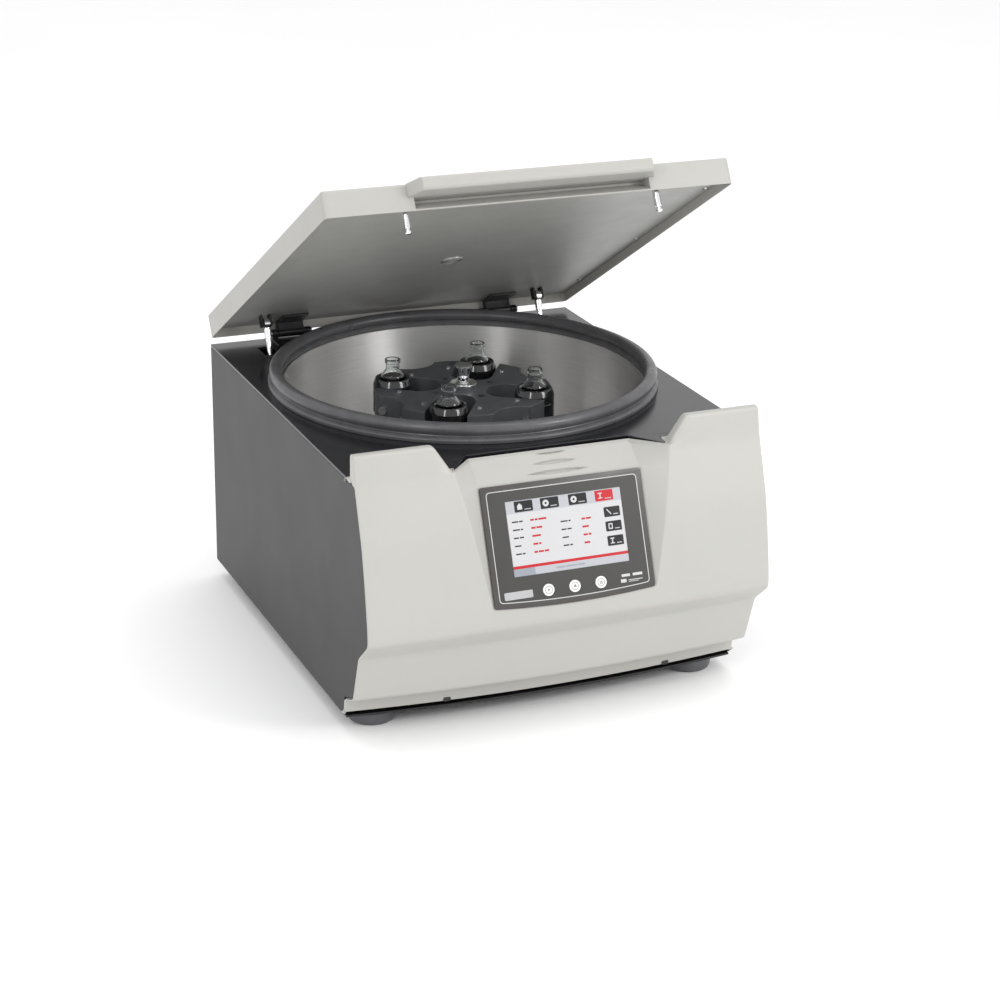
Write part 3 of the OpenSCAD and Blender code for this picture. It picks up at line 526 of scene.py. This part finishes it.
def bezel_rows():
    """Rows of the grid from the deck's edge round to the bottom lip, right half."""
    rows = [[shoulder_point(0, *c) - Vector((0, 0, EDGE * t)) for c in COLUMNS] for t in (1.0, 0.3)]
    rows += [[shoulder_point(r, *c) for c in COLUMNS] for r in range(len(SHOULDER))]
    rows += [[face_point(z, *c) for c in COLUMNS] for z in FACE_ROWS]
    rows += [[face_point(FACE_ROWS[-1], *c) + Vector((0, EDGE * t, 0)) for c in COLUMNS]
             for t in (0.3, 1.0)]
    return rows


def carve_grooves(mesh):
    """Presses the three lens-shaped grooves into the slope over the panel."""
    top = Vector((0, DECK_Y - LIP, DECK_Z))
    down = Vector((0, PANEL_TOP.y + PANEL_T, PANEL_TOP.z)) - top
    length = down.length
    down.normalize()
    normal = Vector((0, down.z, -down.y))
    for vertex in mesh.vertices:
        p = vertex.co / MM - top
        along, out = p.dot(down), p.dot(normal)
        if abs(out) > 1.2 or abs(p.x) > 60 or not 3 < along < length:
            continue
        for centre, wide, depth in GROOVES:
            across = 1 - (2 * p.x / wide) ** 2
            if across <= 0:
                continue
            half = 3.6 * across
            t = (along - centre) / half
            if abs(t) < 1:
                wedge = min(1, (1 + t) / 0.35, (1 - t) / 1.1)
                vertex.co -= normal * (depth * min(1, 2 * across) * ease(wedge)) * MM


def cut_latch_holes(mesh):
    """Cuts the two round latch holes through the single sheet, before it gets its thickness."""
    turns = [math.tau * k / LATCH_SIDES for k in range(LATCH_SIDES)]
    sides = [Vector((math.cos(a), math.sin(a), 0)) for a in turns]
    reach, depth = 45 * MM, 15 * MM
    bm = bmesh.new()
    bm.from_mesh(mesh)
    for x in LATCHES:
        centre = mm(x, LATCH_Y, DECK_Z)
        for side in sides:
            near = [f for f in bm.faces if (f.calc_center_median() - centre).length < reach]
            parts = dict.fromkeys(p for face in near for p in (face, *face.edges, *face.verts))
            bmesh.ops.bisect_plane(bm, geom=list(parts), dist=1e-6,
                                   plane_co=centre + side * LATCH_R * MM, plane_no=side)
        inside = []
        for face in bm.faces:
            out = face.calc_center_median() - centre
            if abs(out.z) < depth and max(out.dot(side) for side in sides) < LATCH_R * MM:
                inside.append(face)
        bmesh.ops.delete(bm, geom=inside, context="FACES")
    bm.to_mesh(mesh)
    bm.free()


def build_bezel():
    bm = bmesh.new()
    rows = bezel_rows()
    grid = []
    for row in rows:
        right = [bm.verts.new(p * MM) for p in row]
        left = [bm.verts.new(mm(-p.x, p.y, p.z)) for p in row[1:]]
        grid.append(left[::-1] + right)
    first_face = 2 + len(SHOULDER)
    window = [i for i, z in enumerate(FACE_ROWS) if WINDOW_LOW < z <= WINDOW_TOP]
    window_rows = range(first_face + window[0], first_face + window[-1] + 1)
    for r in range(len(grid) - 1):
        for c in range(len(grid[0]) - 1):
            quad = (grid[r][c], grid[r + 1][c], grid[r + 1][c + 1], grid[r][c + 1])
            inside = max(abs(v.co.x) for v in quad) <= (WINDOW_HALF + 0.1) * MM
            if not (r in window_rows and inside):
                bm.faces.new(quad)
    bmesh.ops.remove_doubles(bm, verts=bm.verts, dist=0.02 * MM)
    piece = add_piece("bezel", bm, "root", [MATERIALS["bezel_cream"]], ["front_bezel"])
    rounding = piece.modifiers.new("rounding", "SUBSURF")
    rounding.levels = rounding.render_levels = 2
    settle(piece)
    carve_grooves(piece.data)
    cut_latch_holes(piece.data)
    wall = piece.modifiers.new("wall", "SOLIDIFY")
    wall.thickness = SKIN * MM
    wall.offset = -1
    settle(piece, 50)
    fewer = piece.modifiers.new("fewer", "DECIMATE")
    fewer.ratio = KEEP
    settle(piece, 50)


def build_notch_shade():
    """Two small dark blocks under the bezel's bottom lip, painted as the shade inside two notches there.
    """
    for name, x in (("notch_left", -148), ("notch_right", 177)):
        y = face_y(x, 40)
        bm = bmesh.new()
        place = Matrix.Translation(mm(x, y, 34)) @ Matrix.Rotation(math.radians(90), 4, "X") @ \
            Matrix.Scale(MM, 4)
        # black plastic standing in for painted shade, no recess is cut
        prism(bm, rectangle(-5, -3.4, 5, 2.2, 1.2), -2, 0.35, place)
        add_piece(name, bm, "root", [MATERIALS["black_plastic"]])


# ---- lid gasket ----

def build_gasket():
    low, high = box_mm("bowl_gasket")
    outer = high.x
    inner = outer - 19.7
    bead_r = 9
    bead_z, bead_c = high.z - bead_r, outer - 11
    bead = [(bead_c + bead_r * math.cos(math.radians(a)), bead_z + bead_r * math.sin(math.radians(a)))
            for a in range(-62, 246, 8)]
    foot = rounded([(inner, low.z + 0.1, 0), (outer - 0.6, low.z + 0.1, 0.8),
                    (outer, low.z + 5.2, 2.2), (outer - 3.4, low.z + 7.2, 2.2),
                    (outer - 6.2, low.z + 8.8, 1.2)], 5, closed=False)
    lip = rounded([(inner + 3.0, low.z + 11.0, 0.8), (inner + 0.6, low.z + 7.6, 1.6),
                   (inner, low.z + 4, 0.6)], 4, closed=False)
    bm = bmesh.new()
    lathe(bm, [(p[0], p[1]) for p in foot] + bead + [(p[0], p[1]) for p in lip], AXIS, 288)
    add_piece("gasket", bm, "root", [MATERIALS["gasket_rubber"]], ["bowl_gasket"],
              30)


# ---- rotor ----

def build_rotor_parts():
    """Cup-shaped hub, the dark socket screws round it, and the bright screws on the prongs, whose
    sockets get a dark floor as painted shade.
    """
    low = box_mm("rotor_hub")[0]
    section = ((10.6, 0.1, 0), (17, 0.1, 0.6), (19.5, 5.5, 1.5), (19.5, 8, 0.7), (18, 8, 0.7),
               (14.5, 4.4, 2.5), (10.6, 4, 0))
    profile = rounded([(r, low.z + z, turn) for r, z, turn in section], 4)
    bm = bmesh.new()
    lathe(bm, [(p[0], p[1]) for p in profile], AXIS, 96)
    add_piece("rotor_dish", bm, "rotor", [MATERIALS["bright_steel"]], ["rotor_hub"], 30)

    sockets, heads = bmesh.new(), bmesh.new()
    turn = Matrix.Translation(mm(AXIS.x, AXIS.y, low.z)) @ Matrix.Rotation(
        math.radians(ROTOR_TURN), 4, "Z") @ Matrix.Scale(MM, 4)
    for angle in (45, 135, 225, 315):
        arm = turn @ Matrix.Rotation(math.radians(angle), 4, "Z")
        oval = [Vector((46 + 4.6 * p.x, 4.0 * p.y)) for p in circle((0, 0), 1, 32)]
        prism(sockets, oval, 0, 0.35, arm)
        for across in (-32, 32):
            band(heads, circle((88, across), 3.6, 32), circle((88, across), 1.9, 32), 0, 1.5, arm)
            # dark hex floor in each bright head: painted shade inside its socket
            prism(sockets, circle((88, across), 1.9, 6), 0, 0.7, arm)
    add_piece("rotor_sockets", sockets, "rotor", [MATERIALS["black_steel"]])
    add_piece("rotor_heads", heads, "rotor", [MATERIALS["bright_steel"]], ["rotor_screws"],
              30)


# ---- buckets and tubes ----

def build_bucket(k):
    low, high = box_mm(f"bucket_{k}")
    centre = (low + high) / 2
    section = ((0, 0, 0), (18, 0, 4), (22, 4, 3), (24.5, 11, 2), (26, 105, 1), (28, 109, 1.5),
               (28, 137, 0.5), (27.4, 137.8, 0.3), (27.4, 139.2, 0.3), (28, 140, 0.5),
               (28, 149, 3.5), (25.2, 156.4, 1.2), (24.4, 158, 0.7), (21.2, 158, 0.7),
               (19, 155.4, 1.0), (19, 41, 2), (6, 4.6, 2), (0, 4, 0))
    profile = rounded([(r, low.z + z, turn) for r, z, turn in section], 4, closed=False)
    bm = bmesh.new()
    lathe(bm, [(p[0], p[1]) for p in profile], (centre.x, centre.y), 80, closed=False)
    add_piece(f"bucket_{k}_body", bm, f"bucket_{k}", [MATERIALS["bucket_black"]],
              [f"bucket_{k}"], 40)


def build_tube(k):
    low, high = box_mm(f"tube_{k}")
    centre = (low + high) / 2
    top = high.z
    foot = low.z - top
    section = ((0, foot, 0), (4, foot + 1, 3), (17, foot + 43, 8), (17, -24.5, 9),
               (9.8, -14.8, 3.5), (9.8, -6.6, 0.6), (11.3, -5.2, 1.2), (11.3, 0, 1.9),
               (8.2, 0, 1.2), (8.2, -15.2, 3.5), (15.4, -25.2, 8), (15.4, foot + 43.6, 8),
               (3.2, foot + 2.8, 2.5), (0, foot + 2.1, 0))
    profile = rounded([(r, top + z, turn) for r, z, turn in section], 7, closed=False)
    bm = bmesh.new()
    lathe(bm, [(p[0], p[1]) for p in profile], (centre.x, centre.y), 72, closed=False)
    add_piece(f"tube_{k}_bottle", bm, f"tube_{k}", [MATERIALS["tube_glass"]],
              [f"tube_{k}"], 60)


# ---- control panel ----

SCREEN_HALF, SCREEN_LOW, SCREEN_H = 82.5, 37.7, 99
BUTTONS = {"button_start": -37.5, "button_stop": 0, "button_open": 37.5}
BUTTON_V = 15.7
BUTTON_R = 8


def panel_outline(inset, corner):
    """The panel's outline, drawn in by inset, with its bottom edge bowed down."""
    half, top = PANEL_HALF - inset, PANEL_H - inset
    count = 12
    bottom = [(mix(-half, half, i / count), i) for i in range(count + 1)]
    corners = [(u, inset - PANEL_BOW * (1 - (u / PANEL_HALF) ** 2), corner if i in (0, count) else 0)
               for u, i in bottom]
    return rounded(corners + [(half, top, corner), (-half, top, corner)], 6)


def plate_with_holes(bm, outline, holes, low, high):
    """Plate over an outline with holes through it, on the control panel."""
    loops = []
    for loop in [outline] + holes:
        ring = [bm.verts.new(Vector((p[0], p[1], high))) for p in loop]
        loops += [bm.edges.new((ring[i], ring[(i + 1) % len(ring)])) for i in range(len(ring))]
    bmesh.ops.triangle_fill(bm, use_beauty=True, use_dissolve=False, edges=loops)
    grown = bmesh.ops.extrude_face_region(bm, geom=list(bm.faces))
    moved = [g for g in grown["geom"] if isinstance(g, bmesh.types.BMVert)]
    bmesh.ops.translate(bm, verts=moved, vec=(0, 0, low - high))
    bmesh.ops.dissolve_limit(bm, angle_limit=math.radians(1), verts=bm.verts, edges=bm.edges)


def build_panel():
    screen = rectangle(-SCREEN_HALF, SCREEN_LOW, SCREEN_HALF, SCREEN_LOW + SCREEN_H)
    holes = [screen] + [circle((u, BUTTON_V), BUTTON_R + 0.4) for u in BUTTONS.values()]
    bm = bmesh.new()
    plate_with_holes(bm, panel_outline(0, 3), holes, -PANEL_T, 0)
    bm.transform(ON_PANEL)
    frame_piece = add_piece("panel_frame", bm, "root", [MATERIALS["panel_edge"]],
                            ["display_panel"], 30)
    rounding = frame_piece.modifiers.new("rounding", "BEVEL")
    rounding.width = 0.5 * MM
    rounding.segments = 3
    rounding.limit_method = "ANGLE"
    settle(frame_piece, 30)

    bm = bmesh.new()
    band(bm, panel_outline(7.2, 5), panel_outline(8.3, 4.2), 0.02, 0.3, ON_PANEL)
    add_piece("panel_outline", bm, "root", [MATERIALS["panel_line"]])
    bm = bmesh.new()
    plate_with_holes(bm, panel_outline(8.3, 4.2), holes, 0.02, 0.22)
    bm.transform(ON_PANEL)
    add_piece("panel_membrane", bm, "root", [MATERIALS["panel_grey"]])


def build_panel_marks():
    """Blank label plate at the lower left and two small bars at the lower right."""
    bm = bmesh.new()
    prism(bm, rectangle(-100, 9.5, -60, 19.5, 1.5), 0.1, 0.5, ON_PANEL)
    add_piece("panel_label", bm, "root", [MATERIALS["panel_label"]])
    bm = bmesh.new()
    for left, low, right, high in ((68, 18, 80, 21.5), (84, 18, 98, 21.5), (66, 10.5, 74, 15),
                                   (77, 12.6, 98, 13.6), (77, 10.6, 92, 11.4)):
        prism(bm, rectangle(left, low, right, high, 0.3), 0.1, 0.26, ON_PANEL)
    add_piece("panel_bars", bm, "root", [MATERIALS["panel_line"]])


def build_buttons():
    for name, u in BUTTONS.items():
        bm = bmesh.new()
        section = ((0, -8, 0), (6, -8, 0.4), (6, -4.6, 0.2), (8, -4.6, 0.3), (8, 0.8, 0.7),
                   (7.1, 1.25, 0.3), (6.2, 0.95, 0.5), (0, 1.15, 0))
        profile = rounded([(r, z, turn) for r, z, turn in section], 3, closed=False)
        lathe(bm, [(p[0], p[1]) for p in profile], (u, 0), 48, closed=False)
        place = ON_PANEL @ Matrix.Translation((0, BUTTON_V, 0)) @ Matrix.Scale(1 / MM, 4)
        bm.transform(place)
        add_piece(name + "_cap", bm, name, [MATERIALS["button_white"]], [name], 50)

        mark = bmesh.new()
        place = ON_PANEL @ Matrix.Translation((u, BUTTON_V, 0))
        low, high = 0.9, 1.24
        band(mark, circle((0, 0), 5.2), circle((0, 0), 4.4), low, high, place)
        if name == "button_start":
            prism(mark, [(-1.3, -2.2), (2.4, 0), (-1.3, 2.2)], low, high, place)
        elif name == "button_stop":
            prism(mark, rectangle(-1.8, -1.8, 1.8, 1.8, 0.3), low, high, place)
        else:
            prism(mark, [(-2.4, -0.6), (2.4, -0.6), (0, 2.4)], low, high, place)
            prism(mark, rectangle(-2.4, -2.2, 2.4, -1.3), low, high, place)
        add_piece(name + "_mark", mark, name, [MATERIALS["print_grey"]])


# the glass lies half a millimetre under the panel, and its materials go by number
ON_SCREEN = ON_PANEL @ Matrix.Translation((0, 0, -0.5))
WHITE, GREY, BLACK, RED, DARK_GREY = range(5)


def words(bm, left, v, lengths, tall, part):
    """A line of generic writing: one bar a word."""
    for length in lengths:
        prism(bm, rectangle(left, v - tall / 2, left + length, v + tall / 2), 0.1, 0.16, ON_SCREEN, part)
        left += length + 1.3


def tile(bm, left, low, right, high, part):
    prism(bm, rectangle(left, low, right, high, 1.2), 0.06, 0.12, ON_SCREEN, part)


def pictogram(bm, kind, u, v):
    """White sign on a tile."""
    low, high = 0.12, 0.18
    if kind == "house":
        outline = [(-3.4, -4), (3.4, -4), (3.4, 1), (0, 4.4), (-3.4, 1)]
        prism(bm, [(u + a, v + b) for a, b in outline], low, high, ON_SCREEN, WHITE)
    elif kind == "dial":
        band(bm, circle((u, v), 4.4, 28), circle((u, v), 1.5, 28), low, high, ON_SCREEN, WHITE)
    elif kind == "stroke":
        outline = [(-3.4, 3.4), (-2.2, 4), (3.6, -2.6), (2.4, -3.6)]
        prism(bm, [(u + a, v + b) for a, b in outline][::-1], low, high, ON_SCREEN, WHITE)
    elif kind == "sheet":
        band(bm, rectangle(u - 3, v - 3.8, u + 3, v + 3.8, 0.6),
             rectangle(u - 1.6, v - 2.4, u + 1.6, v + 2.4, 0.4), low, high, ON_SCREEN, WHITE)
    else:
        for left, bottom, right, top in ((-3, 2.4, 3, 3.8), (-0.8, -2.6, 0.8, 2.4), (-3, -3.8, 3, -2.6)):
            prism(bm, rectangle(u + left, v + bottom, u + right, v + top), low, high, ON_SCREEN, WHITE)


def build_screen():
    top = SCREEN_LOW + SCREEN_H
    edge = SCREEN_HALF - 0.3
    bm = bmesh.new()
    prism(bm, rectangle(-edge - 2.7, SCREEN_LOW - 2.7, edge + 2.7, top + 2.7), -8.4, -2.6, ON_SCREEN,
          DARK_GREY)
    prism(bm, rectangle(-edge, SCREEN_LOW + 0.3, edge, top - 0.3), -2.6, 0, ON_SCREEN, WHITE)
    prism(bm, rectangle(-edge, top - 17, edge, top - 0.3), 0, 0.06, ON_SCREEN, GREY)
    prism(bm, rectangle(-edge, SCREEN_LOW + 0.3, edge, SCREEN_LOW + 10.2), 0, 0.06, ON_SCREEN, GREY)
    prism(bm, rectangle(-edge, SCREEN_LOW + 0.3, -edge + 30, SCREEN_LOW + 10.2), 0.06, 0.09,
          ON_SCREEN, DARK_GREY)
    prism(bm, rectangle(-edge, SCREEN_LOW + 10.2, edge, SCREEN_LOW + 14), 0, 0.07, ON_SCREEN, RED)
    header = ((-70, "house"), (-33, "dial"), (7, "dial"), (45, "tools"))
    for left, kind in header:
        part = RED if kind == "tools" else BLACK
        tile(bm, left, top - 15.6, left + 26, top - 1.4, part)
        pictogram(bm, kind, left + 7.5, top - 8.4)
        words(bm, left + 14, top - 12.6, (9,), 1.1, GREY)
    for v, kind in ((105.7, "stroke"), (86.7, "sheet"), (67.5, "tools")):
        tile(bm, 55, v - 6.6, 78, v + 6.6, BLACK)
        pictogram(bm, kind, 62, v)
        words(bm, 68, v - 3.4, (7,), 1.3, GREY)
    rows = ((109, (9, 5)), (98.5, (10, 3)), (88, (7, 6)), (77.5, (9,)), (67, (8, 4)))
    values = ((5, 4, 11), (6, 8), (12,), (7, 3), (5, 7, 6))
    for (v, label), value in zip(rows, values):
        words(bm, -76, v, label, 1.7, BLACK)
        words(bm, -50, v, value, 2.4, RED)
    right_values = ((5, 7), (9,), (6, 4), (8,))
    for (v, label), value in zip(rows[1:], right_values):
        words(bm, -8, v + 3, label, 1.7, BLACK)
        words(bm, 22, v + 3, value, 2.4, RED)
    words(bm, -22, SCREEN_LOW + 5.2, (12, 16, 10), 2.0, DARK_GREY)
    parts = [MATERIALS[n] for n in ("screen", "screen_grey", "screen_black", "screen_red",
                                    "screen_dark")]
    add_piece("screen_face", bm, "root", parts, ["display_screen"], 30)



# ---- scene ----

CAMERA_AT_M = (-1.2524, -3.0590, 1.4539)
CAMERA_TURN = (22.876, -20.722, 0.816)   # yaw, pitch and roll in degrees
CAMERA_LENS, CAMERA_SENSOR = 89.02, 36


def build_camera():
    yaw, pitch, roll = (math.radians(a) for a in CAMERA_TURN)
    ahead = Vector((math.sin(yaw) * math.cos(pitch), math.cos(yaw) * math.cos(pitch), math.sin(pitch)))
    right = Vector((math.cos(yaw), -math.sin(yaw), 0))
    up = right.cross(ahead)
    across = right * math.cos(roll) + up * math.sin(roll)
    over = up * math.cos(roll) - right * math.sin(roll)
    data = bpy.data.cameras.new("camera")
    data.lens, data.sensor_width = CAMERA_LENS, CAMERA_SENSOR
    camera = bpy.data.objects.new("camera", data)
    camera.matrix_world = Matrix.Translation(CAMERA_AT_M) @ Matrix(
        (across, over, -ahead)).transposed().to_4x4()
    bpy.context.scene.collection.objects.link(camera)
    bpy.context.scene.camera = camera


def add_light(name, place, aim, size, power):
    data = bpy.data.lights.new(name, "AREA")
    data.shape = "RECTANGLE"
    data.size, data.size_y = size
    data.energy = power
    light = bpy.data.objects.new(name, data)
    light.location = place
    light.rotation_euler = (Vector(aim) - Vector(place)).to_track_quat("-Z", "Y").to_euler()
    bpy.context.scene.collection.objects.link(light)


def build_lights():
    world = bpy.data.worlds.new("studio")
    world.use_nodes = True
    back = world.node_tree.nodes["Background"]
    back.inputs["Color"].default_value = (1, 1, 1, 1)
    back.inputs["Strength"].default_value = 0.98
    bpy.context.scene.world = world
    add_light("top", (0.3, 0.2, 3.2), (0, 0, 0), (3.0, 2.4), 30)
    add_light("key", (1.9, -2.5, 1.9), (0, 0, 0.3), (0.9, 1.3), 34)
    add_light("strip", (-1.9, -1.8, 1.8), (0, 0, 0.3), (0.14, 1.4), 14)


def build_floor():
    bm = bmesh.new()
    half = 16
    bmesh.ops.create_grid(bm, x_segments=4, y_segments=4, size=half)
    mesh = bpy.data.meshes.new("floor")
    bm.to_mesh(mesh)
    bm.free()
    made = Shader("floor", (0.97, 0.97, 0.97), 0.8)
    mesh.materials.append(made.mottle(900, 0.01).material)
    floor = bpy.data.objects.new("floor", mesh)
    bpy.context.scene.collection.objects.link(floor)


bpy.context.scene.view_settings.view_transform = "Standard"
build_camera()
build_lights()
build_floor()
dress_cad_nodes()
build_bezel()
build_notch_shade()
build_gasket()
build_rotor_parts()
for number in (1, 2, 3, 4):
    build_bucket(number)
    build_tube(number)
build_panel()
build_panel_marks()
build_buttons()
build_screen()
